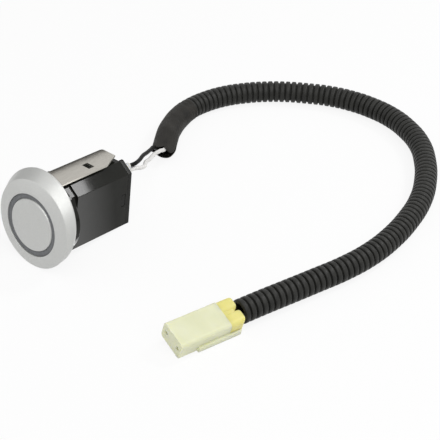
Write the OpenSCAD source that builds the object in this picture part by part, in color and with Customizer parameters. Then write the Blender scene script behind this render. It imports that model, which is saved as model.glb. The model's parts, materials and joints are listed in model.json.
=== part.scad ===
// Ultrasonic parking sensor: wedge bezel, transducer, clipped housing and a short connector lead.
// Millimetres. The sensor lies on a table, and the table is z = 0.
// The head's pieces are drawn in the head's own frame: the transducer's axis is the Y axis, its face
// is y = 0, +Y runs to the rear and +Z is the side with the clip. rest_pose() lays the head down.
// The lead is drawn where it lies on the table.

/* [Bezel] */
// Diameter of the front face at its outer edge
face_d = 25.8; // [25:0.1:28]
// How far the face's outer edge lies behind the transducer's face
face_drop = 0.9; // [0.4:0.1:1.2]
// Diameter of the rim at the back of the bezel
rim_d = 27.4; // [26:0.1:30]
// How far the rim's centre lies above the transducer's axis
rim_rise = 1.5; // [0:0.1:1.8]
// Wedge angle between the face and the rim's back
rim_tilt = 6; // [0:0.5:7]
// Depth from the face's edge to the middle of the rim's back
rim_depth = 2.4; // [2:0.1:4]
// Thickness of the rim's own edge
rim_edge = 0.5; // [0.3:0.1:0.8]
// Depth of the lip that the housing's socket seats against
lip_t = 1.4; // [1.2:0.1:1.8]
// Diameter of the hollow in the bezel's back, round the housing
hollow_d = 23.2; // [22.6:0.1:24]
// Distance from the transducer's face to the floor of that hollow
hollow_y = 2.2; // [2:0.1:2.4]
// Width of the flat land between the silicone ring and the dome
land_w = 0.3; // [0.2:0.1:0.6]

/* [Transducer] */
// Diameter of the transducer's cup, which is the disc in the face
cup_d = 15.3; // [14:0.1:16]
// Depth of the cup
cup_depth = 6.9; // [6.5:0.1:8]
// Wall of the cup
cup_wall = 1.2; // [0.8:0.1:1.6]
// Chamfer round the cup's front edge
cup_edge = 0.25; // [0.1:0.05:0.4]
// Thickness of the membrane at the cup's front
membrane_t = 0.8; // [0.5:0.1:1.2]
// Outer diameter of the silicone ring round the cup
ring_d = 18; // [17:0.1:19]
// How far the silicone ring's front is set back from the transducer's face
ring_set = 0.3; // [0.1:0.1:0.6]
// Diameter of the piezo disc
piezo_d = 9; // [7:0.1:11]
// Thickness of the piezo disc
piezo_t = 0.5; // [0.3:0.1:0.8]
// Thickness of the foam behind the piezo disc
pad_t = 2.7; // [2:0.1:3.2]
// Diameter of the transducer's pins
pin_d = 0.6; // [0.5:0.1:0.8]
// Distance between the transducer's pins
pin_pitch = 5; // [4:0.1:6]
// How far the pins lie along the board
pin_lap = 4; // [3:0.1:5]

/* [Housing] */
// Length from the transducer's face to the back of the rear cover
body_len = 33.2; // [32:0.1:40]
// Width of the box
body_w = 11.4; // [11:0.1:13]
// Height of the box
body_h = 18.9; // [18:0.1:19.6]
// Wall of the box
body_wall = 1.2; // [1:0.1:1.4]
// Width of the chamfers along the upper edges
chamfer_w = 3.5; // [3:0.1:3.8]
// Height of the chamfers along the upper edges
chamfer_h = 2.75; // [2:0.05:3.5]
// Wall of the round socket that holds the transducer
socket_wall = 1.2; // [0.9:0.1:1.4]
// Floor of the socket behind the transducer
socket_floor = 1.6; // [1.2:0.1:2]
// How far the neck's upper sides are set back from the box's sides
neck_inset = 0.9; // [0.5:0.1:1.2]
// Height over which the neck's sides slope out to the box's sides, below the chamfers
neck_slope = 3.6; // [2.5:0.1:4.5]
// Distance from the transducer's face to the end of the neck
neck_end = 11.9; // [11.6:0.1:15]
// Thickness of the rear cover's plate
cover_t = 1.4; // [1:0.1:2]
// Depth of the skirt that plugs the rear cover into the box
skirt_depth = 2.6; // [2.4:0.1:3]
// Thickness of the skirt
skirt_t = 0.9; // [0.7:0.1:1.1]
// Width of the notch in the rear cover's upper edge
notch_w = 3.2; // [2:0.1:4]
// Depth of that notch
notch_h = 1.1; // [0.6:0.1:1.1]
// Height of the snap windows in the box's sides
snap_h = 3.8; // [3:0.1:5]
// Length of the snap windows
snap_len = 1.6; // [1.2:0.1:1.8]
// Height of the snap windows' middle above the axis
snap_z = -1.2; // [-3:0.1:1]
// Distance from the snap windows to the box's rear end
snap_set = 0.6; // [0.5:0.1:0.7]
// Width and height of the rails that hold the board's edges
rail_w = 0.8; // [0.6:0.1:0.8]
// Gap round the pins in the socket's floor
pin_window_gap = 1; // [0.6:0.1:1.4]

/* [Clip] */
// Thickness of the spring steel
clip_t = 0.5; // [0.4:0.05:0.6]
// Height of the seat that holds the leaf above the housing's top
seat_h = 0.85; // [0.8:0.05:1.2]
// Width of the seat under the leaf
seat_w = 3.6; // [3.4:0.1:4]
// How far the leaf's free edge lies from the axis
leaf_side = 3.2; // [2.6:0.1:4]
// How far the leaf's front tongue reaches over the other side
tongue_side = 4.8; // [3.5:0.1:5]
// Distance from the leaf's rear end to the back of the rear cover
leaf_short = 1.7; // [1:0.1:3]
// Gap between the bezel's rim and the leaf's front end
leaf_gap = 0.4; // [0.3:0.1:0.8]
// Width of the leaf's slanted rear corner
corner_w = 2.6; // [1.5:0.1:3.5]
// Length of the leaf's slanted rear corner
corner_len = 6; // [3:0.1:7]
// Outer radius of the bend into the side web, over the chamfer
bend_r = 2.6; // [2.2:0.1:2.9]
// Radius of the leaf's round rear corner on the bent side
bend_corner = 3; // [3:0.1:3.8]
// Height of the side web's lower edge above the axis
web_low = 2; // [0:0.1:3]
// Distance from the socket's floor to the side web's front end
web_gap = 2.4; // [1:0.1:3]
// Distance from the side web's front end to the seat's front end
seat_set = 2; // [1:0.1:3]
// Distance from the chamfer down to the window in the side web
lug_drop = 0.2; // [0.1:0.1:0.5]
// Distance from the transducer's face to the windows' middle
window_y = 21.3; // [19:0.1:23]
// Width of the windows in the clip, across the leaf and down the web
window_w = 2.8; // [2.6:0.1:3.2]
// Length of the windows
window_len = 2.1; // [2:0.1:2.6]
// How far the lugs stand out of the windows
lug_proud = 0.2; // [0.1:0.05:0.4]

/* [Electronics] */
// Thickness of the circuit board
board_t = 1.2; // [1:0.1:1.4]
// Gap between the board's long edges and the housing
board_gap = 0.25; // [0.1:0.05:0.4]
// Gap between the board's rear edge and the rear cover's skirt
cover_clear = 0.6; // [0.4:0.1:1]
// Gap between neighbouring parts on the board
part_gap = 0.8; // [0.5:0.1:1]
// Gap between the socket's floor and the board's front edge
board_clear = 1.4; // [0.8:0.1:2]
// Length of the chip's body
chip_len = 7; // [5:0.1:8]
// Width of the chip's body
chip_w = 3.9; // [3:0.1:5]
// Thickness of the chip's body
chip_t = 1.4; // [1:0.1:1.8]
// How far the chip's leads stand out of its body
chip_lead_out = 0.8; // [0.6:0.1:1]
// Width of the chip's leads
chip_lead_w = 0.4; // [0.3:0.05:0.5]
// Thickness of the chip's leads
chip_lead_t = 0.25; // [0.15:0.05:0.3]
// Gap between the chip's body and the board
chip_standoff = 0.15; // [0.1:0.05:0.2]
// Number of leads along each side of the chip
chip_leads = 6; // [4:1:7]
// Diameter of the transformer's core
core_d = 6.4; // [5:0.1:7]
// Height of the transformer's core above the board
core_h = 3; // [2.4:0.1:3.2]
// Height of the core's middle above the axis
core_z = -2.5; // [-3:0.1:0]
// How far the winding lies below the flanges' edge
winding_set = 0.4; // [0.2:0.1:0.8]
// Thickness of the core's flanges
core_flange = 0.6; // [0.4:0.1:0.8]
// Diameter of the core's waist
core_waist = 3; // [2:0.1:4]
// Height of the storage capacitor's middle above the axis
cap_z = -1; // [-3:0.1:1]
// Length of the storage capacitor
cap_len = 3.5; // [3:0.1:4]
// Width of the storage capacitor
cap_w = 2.8; // [2:0.1:3.2]
// Thickness of the storage capacitor
cap_t = 1.9; // [1.4:0.1:2.2]
// Length of the small chip parts
chip_part_len = 1.6; // [1:0.1:2]
// Width and height of the small chip parts
chip_part_w = 0.8; // [0.5:0.1:1]
// Distance between the small chip parts
chip_part_step = 2; // [1.5:0.1:2.4]
// Number of small chip parts
chip_part_count = 5; // [3:1:5]

/* [Lead] */
// Diameter of each wire
wire_d = 1.2; // [1:0.1:1.3]
// Gap between the two wires, which lie one above the other
wire_gap = 0.3; // [0.25:0.05:0.5]
// Height above the axis of the middle between the wires
wire_z = 5.7; // [4.5:0.1:5.8]
// How far the wires lie to the side of the axis where they leave the rear cover
wire_side = 2; // [1.6:0.1:2.1]
// Length over which the wires bend from the board to that side, up to the seal
wire_bend = 2.6; // [2:0.1:3]
// Length of wire laid along the board
wire_lap = 2.4; // [2:0.1:3]
// Wall of the silicone seal round the wires
seal_wall = 0.45; // [0.4:0.05:0.9]
// How far the seal stands out of the rear cover
seal_out = 2.6; // [2:0.1:4]
// Diameter of the conduit over its ribs
conduit_d = 6.8; // [6.4:0.1:7]
// Diameter of the taped end
tape_d = 7.2; // [6.6:0.1:7.2]

/* [Connector] */
// Length of the connector with its rear holder
conn_len = 19.9; // [18:0.1:22]
// Width of the connector
conn_w = 8.6; // [8:0.1:10]
// Height of the connector
conn_h = 5.6; // [5:0.1:7]
// Radius of the connector's long edges
conn_round = 1; // [0.6:0.1:1.4]
// Turn of the connector about its own axis as it lies
conn_roll = 18; // [0:1:25]
// Length of the two-lobed rear holder
holder_len = 4.6; // [4:0.1:6]
// How far the rear holder is set in from the connector's top and bottom
holder_set = 0.1; // [0.1:0.1:0.4]
// Radius of the rear holder's lobes along their edges
lobe_round = 1.5; // [1:0.1:1.8]
// Radius of the lobes' rear corners
nose_round = 1.2; // [0.8:0.1:1.6]
// Depth of the valley between the lobes
lobe_valley = 0.4; // [0.3:0.1:0.8]
// Distance between the contacts
contact_pitch = 5.2; // [4.8:0.1:5.4]
// Diameter of the contacts' bodies
contact_d = 2; // [1.6:0.1:2.2]
// Length of the contacts' bodies
contact_len = 9; // [7:0.1:10]
// Diameter of the holes in the mating face
entry_d = 1.2; // [0.8:0.1:1.4]
// Depth of the holes in the mating face
entry_depth = 1.6; // [1.2:0.1:2]
// How far the guide rib stands out of the connector's side
guide_rib = 0.6; // [0.3:0.1:0.8]
// Height of the guide rib
guide_h = 1.8; // [1:0.1:2.6]
// How far the guide rib's middle lies below the connector's middle
guide_drop = 1.4; // [0:0.1:1.4]
// Distance from the mating face to the guide rib
guide_start = 5.5; // [4:0.1:8]

/* [Fits] */
// Clearance between pieces that fit into each other
fit = 0.05; // [0.03:0.01:0.1]

/* [Hidden] */
$fn = 64;
over = 1;
tiny = 0.02;

// Bezel: the face is a shallow dome that starts at a flat land round the silicone ring
face_r = face_d / 2;
ring_r = ring_d / 2;
land_r = ring_r + land_w;
dome_r = (land_r + face_r) / 2;
dome_y = face_drop / 4;
rim_r = rim_d / 2;
rim_y = face_drop + rim_depth;
bezel_sides = 120;

// Transducer
cup_r = cup_d / 2;
cup_bore = cup_r - cup_wall;
piezo_back = membrane_t + piezo_t;
pad_back = piezo_back + pad_t;

// Housing
socket_r = ring_r + socket_wall;
socket_seat = cup_depth + 2 * fit;
socket_back = socket_seat + socket_floor;
pin_window_r = pin_pitch / 2 + pin_d + pin_window_gap;
top_z = body_h / 2;
side_x = body_w / 2;
cover_front = body_len - cover_t;
skirt_front = cover_front - skirt_depth;
snap_back = cover_front - snap_set;

// Clip
leaf_low = max(top_z + seat_h, socket_r + fit);
leaf_top = leaf_low + clip_t;
leaf_rear = body_len - leaf_short;
leaf_front = rim_y + (leaf_top - rim_rise) * tan(rim_tilt) + leaf_gap;
web_in = side_x + 2 * fit;
web_out = web_in + clip_t;
web_front = socket_back + web_gap;
web_rear = leaf_rear - bend_corner + sqrt(bend_corner ^ 2 - bend_r ^ 2);
web_window_z = top_z - chamfer_h - window_w / 2 - lug_drop;
seat_front = web_front + seat_set;
seat_rear = leaf_rear - corner_len;

// Electronics: the board stands on edge along the axis, between rails in the housing
board_half = top_z - body_wall - board_gap;
board_front = socket_back + board_clear;
board_rear = skirt_front - cover_clear;
board_side = board_t / 2;
chip_front = board_front + pin_lap + part_gap;
chip_rear = chip_front + chip_len;
core_y = chip_front + core_d / 2;
cap_front = chip_rear + part_gap;

// Lead
wire_r = wire_d / 2;
wire_x = board_side + fit + wire_r;
wire_pitch = wire_d + wire_gap;
seal_start = cover_front - 2 * fit;
seal_r = wire_r + seal_wall;
seal_back = body_len + seal_out;
tape_r = tape_d / 2;
conduit_r = conduit_d / 2;

// Rest: the head stands on the rear cover's lower edge and on the face's or the rim's lower edge
rim_low_y = rim_y - rim_r * sin(rim_tilt);
rim_low_z = rim_r * cos(rim_tilt) - rim_rise;
face_tilt = atan2(face_r - top_z, body_len - face_drop);
rest_tilt = max(face_tilt, atan2(rim_low_z - top_z, body_len - rim_low_y));
rest_z = top_z * cos(rest_tilt) + body_len * sin(rest_tilt);
head_front = -land_r * sin(rest_tilt);
head_rear = body_len * cos(rest_tilt) + top_z * sin(rest_tilt);
rest_y = -(head_front + head_rear) / 2;

// Connector: it lies on one long edge, turned by the stiff conduit
edge_x = conn_w / 2 - conn_round;
edge_z = conn_h / 2 - conn_round;
guide_x = conn_w / 2 + guide_rib;
guide_low = guide_drop + guide_h / 2;
conn_z = max(edge_x * sin(conn_roll) + edge_z * cos(conn_roll) + conn_round,
    guide_x * sin(conn_roll) + guide_low * cos(conn_roll));
body_end = -holder_len;
lobe_w = conn_w / 2;
lobe_h = conn_h - 2 * holder_set;
contact_front = -conn_len + entry_depth;
contact_rear = contact_front + contact_len;

// Route of the lead on the table, from the taped mouth to the connector
tape_last = 5;
LEAD_ROUTE = [
    [-10, 48.5, 4.1], [-12.8, 52.5, 3.9], [-15.2, 56.5, 3.8], [-17.3, 61, 3.7], [-18.8, 65.5, 3.6],
    [-19.7, 71, 3.6], [-19.2, 78, 3.5], [-17, 85, 3.5], [-13.5, 91, 3.5], [-9, 96.5, 3.5],
    [-4, 101, 3.5], [2, 105, 3.5], [8.5, 108.5, 3.5], [15.5, 110.7, 3.5], [23, 111.5, 3.5],
    [31, 110.8, 3.5], [39, 108, 3.5], [47, 103, 3.5], [54, 95.5, 3.5], [60, 86.5, 3.5],
    [64.5, 77, 3.5], [67.5, 66, 3.5], [69, 55, 3.5], [69, 45, 3.5], [67.5, 35, 3.5],
    [65, 25.5, 3.5], [62.6, 16.5, 3.6], [60.3, 8, conn_z], [58.2, 0, conn_z]];
lead_sides = 12;
wire_sides = 8;
lead_end = LEAD_ROUTE[len(LEAD_ROUTE) - 1];
lead_before = LEAD_ROUTE[len(LEAD_ROUTE) - 2];
conn_yaw = atan2(lead_before.x - lead_end.x, lead_before.y - lead_end.y);

// Routes of the wires between the rear cover and the taped mouth
BLACK_ROUTE = [[1.8, 22.6, 15], [1.2, 24.2, 14.5], [0, 26.6, 13.7], [-2, 30.1, 12.6],
    [-4.1, 34.2, 10.9], [-6.5, 38.3, 9], [-9, 42.3, 7]];
WHITE_ROUTE = [[2.1, 22.6, 13.6], [2.4, 24.2, 13.1], [2, 26.2, 12.4], [-0.3, 29.4, 11.4],
    [-2.6, 33.4, 9.4], [-5.4, 38.6, 7.6], [-7.4, 43.4, 5.8]];
MOUTH_BLACK = [2.2, 0.6];
MOUTH_WHITE = [-0.3, 0.4];
mouth_run = 2.5;

// Vectors for sweeping a tube along a route
function unit(v) = v / norm(v);
function heading(route, i) =
    unit(route[min(i + 1, len(route) - 1)] - route[max(i - 1, 0)]);
function across(t) = unit(cross([0, 0, 1], t));
function ring(centre, t, r, sides) = [
    for (k = [0:sides - 1])
        let (a = 360 * k / sides)
        centre + r * (cos(a) * across(t) + sin(a) * cross(t, across(t)))];

// A point of the head, where it lies on the table
function rest_point(p) = [
    p.x,
    p.y * cos(rest_tilt) + p.z * sin(rest_tilt) + rest_y,
    p.z * cos(rest_tilt) - p.y * sin(rest_tilt) + rest_z];

// A point before the taped mouth, off its centre by [side, up] and out along its axis
function mouth_point(offset, out) =
    let (t = heading(LEAD_ROUTE, 0))
    LEAD_ROUTE[0] + offset[0] * across(t) + offset[1] * cross(t, across(t)) - out * t;

// A wire's whole route: along the board, straight through the seal, over the table and into the mouth
function wire_route(side, middle, offset) = concat(
    [for (p = [[wire_x, board_rear - wire_lap], [wire_x, seal_start - wire_bend],
            [wire_side, seal_start], [wire_side, seal_back]])
        rest_point([p.x, p.y, wire_z + side * wire_pitch / 2])],
    middle,
    [for (out = [mouth_run, 0]) mouth_point(offset, out)]);

// Leg of a chamfer after its corner is set in by a wall
function inset_share(a, b, wall) = 1 + wall * (sqrt(1 / (a * a) + 1 / (b * b)) - 1 / a - 1 / b);

module rest_pose() {
    translate([0, rest_y, rest_z]) rotate([-rest_tilt, 0, 0]) children();
}

module connector_pose() {
    translate(lead_end) rotate([0, 0, -conn_yaw]) rotate([0, conn_roll, 0]) children();
}

module rod(r, y0, y1, x = 0, z = 0) {
    translate([x, y0, z]) rotate([-90, 0, 0]) cylinder(h = y1 - y0, r = r);
}

module block(low, high) {
    translate(low) cube(high - low);
}

// Turns a profile of [radius, y] points about the Y axis
module turned(profile) {
    rotate([-90, 0, 0]) rotate_extrude() polygon(profile);
}

// Extrudes a shape drawn in x and z from y0 to y1
module along_y(y0, y1) {
    translate([0, y1, 0]) rotate([90, 0, 0]) linear_extrude(height = y1 - y0) children();
}

// Extrudes a shape drawn in y and z from x0 to x1
module along_x(x0, x1) {
    translate([x0, 0, 0]) rotate([90, 0, 90]) linear_extrude(height = x1 - x0) children();
}

// Section of the box, with both upper edges chamfered, set in by a wall
module box_section(half_w, wall = 0) {
    share = inset_share(chamfer_w, chamfer_h, wall);
    w = half_w - wall;
    h = top_z - wall;
    cw = chamfer_w * share;
    ch = chamfer_h * share;
    polygon([[-w, -h], [w, -h], [w, h - ch], [w - cw, h], [cw - w, h], [-w, h - ch]]);
}

module neck_section(wall = 0) {
    share = inset_share(chamfer_w, chamfer_h, wall);
    w = side_x - wall;
    upper = w - neck_inset;
    h = top_z - wall;
    cw = chamfer_w * share;
    low = h - chamfer_h * share;
    polygon([[-w, -h], [w, -h], [w, low - neck_slope], [upper, low], [upper - cw, h],
        [cw - upper, h], [-upper, low], [-w, low - neck_slope]]);
}

module rounded_bar(w, h, r, y0, y1, x = 0) {
    block([x - w / 2 + r, y0, -h / 2], [x + w / 2 - r, y1, h / 2]);
    block([x - w / 2, y0, -h / 2 + r], [x + w / 2, y1, h / 2 - r]);
    for (sx = [-1, 1], sz = [-1, 1])
        rod(r, y0, y1, x + sx * (w / 2 - r), sz * (h / 2 - r));
}

// Sweeps a tube along part of a route, from one of its points to another
module tube(route, r, sides, first, last) {
    count = last - first;
    points = [for (i = [first:last]) each ring(route[i], heading(route, i), r, sides)];
    walls = [
        for (i = [0:count - 1], k = [0:sides - 1])
            let (a = i * sides + k, b = i * sides + (k + 1) % sides)
            each [[a, a + sides, b + sides], [a, b + sides, b]]];
    caps = [
        [for (k = [0:sides - 1]) k],
        [for (k = [sides - 1:-1:0]) count * sides + k]];
    polyhedron(points, concat(walls, caps));
}

module face_disc(r, y, t = tiny) {
    translate([0, y, 0]) rotate([-90, 0, 0]) cylinder(h = t, r = r, $fn = bezel_sides);
}

// Silver painted ring: a wedge that is lofted from the domed face to the tilted rim, hollow at the back
module bezel() color("silver") rest_pose() {
    difference() {
        hull() {
            face_disc(land_r, 0);
            face_disc(dome_r, dome_y);
            face_disc(face_r, face_drop);
            translate([0, rim_y, rim_rise]) rotate([-rim_tilt, 0, 0])
                face_disc(rim_r, -rim_edge, rim_edge);
        }
        rod(ring_r + fit, -over, lip_t + over);
        rod(socket_r + fit, lip_t, rim_y + rim_r);
        rod(hollow_d / 2, hollow_y, rim_y + rim_r, 0, rim_rise);
    }
}

// Grey silicone sleeve between the cup and the bezel
module decoupling_ring() color("dimgray") rest_pose() {
    inner = cup_r + fit;
    turned([[inner, ring_set], [ring_r, ring_set], [ring_r, cup_depth], [inner, cup_depth]]);
}

// Silver painted aluminium cup, closed at the front by its membrane
module transducer_cup() color("lightgray") rest_pose() {
    turned([[0, 0], [cup_r - cup_edge, 0], [cup_r, cup_edge], [cup_r, cup_depth], [cup_bore, cup_depth],
        [cup_bore, membrane_t], [0, membrane_t]]);
}

module piezo_disc() color("goldenrod") rest_pose() {
    rod(piezo_d / 2, membrane_t, piezo_back);
}

module damping_pad() color("darkgray") rest_pose() {
    rod(cup_bore - 2 * fit, piezo_back, pad_back);
}

// Plug that closes the cup, with two pin holes
module transducer_cap() color("gray") rest_pose() {
    difference() {
        rod(cup_bore - fit, pad_back, cup_depth);
        each_pin(pin_d / 2 + fit, pad_back - over, cup_depth + over);
    }
}

module each_pin(r, y0, y1) {
    for (side = [-1, 1])
        rod(r, y0, y1, board_side + fit + pin_d / 2, side * pin_pitch / 2);
}

module transducer_pins() color("gold") rest_pose() {
    each_pin(pin_d / 2, pad_back, board_front + pin_lap);
}

// Black moulded body: round socket, neck, chamfered box, clip seat, lugs and board rails
module housing() color("#2b2c29") rest_pose() {
    difference() {
        union() {
            rod(socket_r, lip_t, socket_back);
            along_y(socket_seat, neck_end) neck_section();
            along_y(neck_end - tiny, cover_front) box_section(side_x);
            clip_seat();
        }
        rod(ring_r + fit, lip_t - over, socket_seat);
        rod(pin_window_r, socket_seat - over, socket_back + over);
        along_y(socket_back, neck_end + body_wall + over) neck_section(body_wall);
        along_y(neck_end + body_wall, cover_front + over) box_section(side_x, body_wall);
        snap_windows(0);
    }
    board_rails();
}

module clip_seat() {
    block([-seat_w / 2, seat_front, top_z - tiny], [seat_w / 2, seat_rear, leaf_low]);
    lug_half = window_w / 2 - 4 * fit;
    lug_front = window_y - window_len / 2 + 2 * fit;
    lug_rear = window_y + window_len / 2 - 2 * fit;
    along_x(-lug_half, lug_half)
        polygon([[lug_front, top_z], [lug_rear, top_z], [lug_rear, leaf_low + clip_t / 2],
            [lug_front, leaf_top + lug_proud]]);
    block([-web_out - lug_proud, lug_front, web_window_z - lug_half],
        [-side_x + tiny, lug_rear, web_window_z + lug_half]);
}

module snap_windows(gap) {
    for (side = [-1, 1])
        translate([side * (side_x - body_wall / 2), 0, 0])
            block([-body_wall / 2 - over, snap_back - snap_len + gap, snap_z - snap_h / 2 + gap],
                [body_wall / 2 + over, snap_back - gap, snap_z + snap_h / 2 - gap]);
}

// Ribs on the box's floor and ceiling that hold the board's long edges
module board_rails() {
    inner = board_side + 2 * fit;
    root = top_z - body_wall / 2;
    for (sx = [0, 1], sz = [0, 1])
        mirror([sx, 0, 0]) mirror([0, 0, sz])
            block([inner, neck_end, top_z - body_wall - rail_w],
                [inner + rail_w, board_rear - wire_lap, root]);
}

// Plate with a plug-in skirt, two snap hooks and the hole for the wire seal
module rear_cover() color("#262724") rest_pose() {
    gap = 2 * fit;
    difference() {
        union() {
            along_y(cover_front, body_len) box_section(side_x);
            along_y(skirt_front, cover_front + tiny) box_section(side_x, body_wall + gap);
            intersection() {
                snap_windows(gap);
                along_y(skirt_front, body_len) box_section(side_x - gap);
            }
        }
        along_y(skirt_front - over, cover_front) box_section(side_x, body_wall + gap + skirt_t);
        seal_shape(seal_r + fit, skirt_front - over, body_len + over);
        block([-notch_w / 2, cover_front, top_z - notch_h], [notch_w / 2, body_len + over, top_z + over]);
    }
}

module seal_shape(r, y0, y1) {
    each_wire(r, y0, y1);
    block([wire_side - r, y0, wire_z - wire_pitch / 2], [wire_side + r, y1, wire_z + wire_pitch / 2]);
}

module each_wire(r, y0, y1) {
    for (side = [-1, 1])
        rod(r, y0, y1, wire_side, wire_z + side * wire_pitch / 2);
}

// Spring-steel leaf on the housing's top, bent in a wide curve down over one side
module retaining_clip() color("#b3aea4") rest_pose() {
    bend_x = bend_r - web_out;
    bend_z = leaf_top - bend_r;
    difference() {
        union() {
            translate([0, 0, leaf_low]) linear_extrude(height = clip_t) polygon([
                [-tongue_side, leaf_front], [leaf_side, leaf_front],
                [leaf_side, leaf_rear - corner_len], [leaf_side - corner_w, leaf_rear],
                [bend_x, leaf_rear], [bend_x, web_front], [-tongue_side, web_front]]);
            clip_bend(bend_x, bend_z);
            block([-web_out, web_front, web_low], [-web_in, web_rear, bend_z]);
        }
        block([-window_w / 2, window_y - window_len / 2, leaf_low - over],
            [window_w / 2, window_y + window_len / 2, leaf_top + over]);
        block([-web_out - over, window_y - window_len / 2, web_window_z - window_w / 2],
            [-web_in + over, window_y + window_len / 2, web_window_z + window_w / 2]);
    }
}

// Quarter tube that joins the leaf to the side web, with its rear corner cut round
module clip_bend(x, z) {
    corner_y = leaf_rear - bend_corner;
    intersection() {
        difference() {
            rod(bend_r, web_front, leaf_rear, x, z);
            rod(bend_r - clip_t, web_front - over, leaf_rear + over, x, z);
        }
        block([x - bend_r - over, web_front - over, z], [x, leaf_rear + over, z + bend_r + over]);
        union() {
            block([x - bend_corner, web_front - over, z - over], [x + over, corner_y, z + bend_r + over]);
            translate([x, corner_y, z - over]) cylinder(h = bend_r + 2 * over, r = bend_corner);
        }
    }
}

module circuit_board() color("darkgreen") rest_pose() {
    block([-board_side, board_front, -board_half], [board_side, board_rear, board_half]);
}

// Leaded chip on the board's near side
module controller_chip() color("#1c1c1c") rest_pose() {
    step = chip_len / chip_leads;
    body_low = board_side + chip_standoff;
    block([body_low, chip_front, -chip_w / 2], [body_low + chip_t, chip_rear, chip_w / 2]);
    for (i = [0:chip_leads - 1], sz = [0, 1])
        translate([board_side, chip_front + step * (i + 0.5) - chip_lead_w / 2, 0]) mirror([0, 0, sz])
            chip_lead();
}

// One gull-wing lead, from the chip's side down to the board
module chip_lead() {
    drop = chip_standoff + chip_t / 2;
    inner = chip_w / 2 - tiny;
    knee = inner + chip_lead_out / 2;
    block([drop - chip_lead_t, 0, inner], [drop, chip_lead_w, knee]);
    block([0, 0, knee - chip_lead_t], [drop, chip_lead_w, knee]);
    block([0, 0, knee - chip_lead_t], [chip_lead_t, chip_lead_w, inner + chip_lead_out]);
}

// Drum core of the pulse transformer, on the board's far side
module transformer_core() color("#3a3a3c") rest_pose() {
    on_far_side() {
        cylinder(h = core_flange, d = core_d);
        cylinder(h = core_h, d = core_waist);
        translate([0, 0, core_h - core_flange]) cylinder(h = core_flange, d = core_d);
    }
}

module transformer_winding() color("#b87333") rest_pose() {
    on_far_side()
        translate([0, 0, core_flange]) difference() {
            cylinder(h = core_h - 2 * core_flange, d = core_d - 2 * winding_set);
            translate([0, 0, -over]) cylinder(h = core_h + over, d = core_waist + 2 * fit);
        }
}

module on_far_side() {
    translate([-board_side, core_y, core_z]) rotate([0, -90, 0]) children();
}

module storage_capacitor() color("#c9a227") rest_pose() {
    block([board_side, cap_front, cap_z - cap_w / 2],
        [board_side + cap_t, cap_front + cap_len, cap_z + cap_w / 2]);
}

// Row of chip resistors and capacitors on the board's near side
module chip_parts() color("#8a7f6a") rest_pose() {
    row_z = -chip_w / 2 - chip_lead_out - part_gap - chip_part_len;
    for (i = [0:chip_part_count - 1])
        translate([board_side, chip_front + i * chip_part_step, row_z])
            cube([chip_part_w, chip_part_w, chip_part_len]);
}

// Pale silicone plug round both wires
module wire_seal() color("#dcdccf") rest_pose() {
    difference() {
        seal_shape(seal_r, cover_front, seal_back);
        each_wire(wire_r + fit, cover_front - over, seal_back + over);
    }
}

module black_wire() color("#1d1d1b") wire(wire_route(1, BLACK_ROUTE, MOUTH_BLACK));

module white_wire() color("#e6e4df") wire(wire_route(-1, WHITE_ROUTE, MOUTH_WHITE));

module wire(route) {
    tube(route, wire_r, wire_sides, 0, len(route) - 1);
}

// Cloth tape over the conduit's end
module tape_wrap() color("#2a2a27") tube(LEAD_ROUTE, tape_r, lead_sides, 0, tape_last);

module conduit() color("#232321") tube(LEAD_ROUTE, conduit_r, lead_sides, tape_last, len(LEAD_ROUTE) - 1);

// Cream two-way connector, open to the rear for its contacts
module connector_housing() color("#e4e6c3") connector_pose() {
    difference() {
        union() {
            rounded_bar(conn_w, conn_h, conn_round, -conn_len, body_end);
            block([conn_w / 2 - over, -conn_len + guide_start, -guide_low],
                [guide_x, body_end, guide_h - guide_low]);
            block([conn_w / 2 + fit, body_end - over, -guide_low],
                [guide_x, -nose_round, guide_h - guide_low]);
        }
        for (side = [-1, 1]) {
            rod(entry_d / 2, -conn_len - over, body_end, side * contact_pitch / 2);
            rod(contact_d / 2 + fit, contact_front, body_end + over, side * contact_pitch / 2);
        }
    }
}

// Yellower rear holder with a lobe round each wire, rounded at its rear corners
module connector_retainer() color("#e4dc8c") connector_pose() {
    for (side = [-1, 1])
        intersection() {
            rounded_bar(lobe_w + tiny, lobe_h, lobe_round, body_end, 0, side * lobe_w / 2);
            nose(side * lobe_w / 2, lobe_w / 2 + tiny, conn_h);
        }
    block([-lobe_round, body_end, lobe_valley - lobe_h / 2],
        [lobe_round, -nose_round, lobe_h / 2 - lobe_valley]);
}

// Upright block whose two rear corners are round
module nose(x, half_w, h) {
    inner = half_w - nose_round;
    block([x - half_w, body_end, -h], [x + half_w, -nose_round, h]);
    block([x - inner, body_end, -h], [x + inner, 0, h]);
    for (side = [-1, 1])
        translate([x + side * inner, -nose_round, -h]) cylinder(h = 2 * h, r = nose_round);
}

module socket_contacts() color("tan") connector_pose() {
    for (side = [-1, 1])
        difference() {
            rod(contact_d / 2, contact_front, contact_rear, side * contact_pitch / 2);
            rod(entry_d / 2, contact_front - over, contact_rear - contact_len / 2, side * contact_pitch / 2);
        }
}

bezel();
decoupling_ring();
transducer_cup();
piezo_disc();
damping_pad();
transducer_cap();
transducer_pins();
housing();
rear_cover();
retaining_clip();
circuit_board();
controller_chip();
transformer_core();
transformer_winding();
storage_capacitor();
chip_parts();
wire_seal();
black_wire();
white_wire();
tape_wrap();
conduit();
connector_housing();
connector_retainer();
socket_contacts();
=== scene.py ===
# %% [markdown]
# # An ultrasonic parking sensor and its lead
# The sensor lies on a table: a silver bezel with the transducer's disc in it, a black housing with a
# steel clip, two wires, and a short corrugated conduit that ends in a cream connector.
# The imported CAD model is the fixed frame. Every piece made here sits where that frame says.

# %% Load the frame
import json
import math

import bmesh
import bpy
from mathutils import Matrix, Quaternion, Vector, noise


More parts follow.
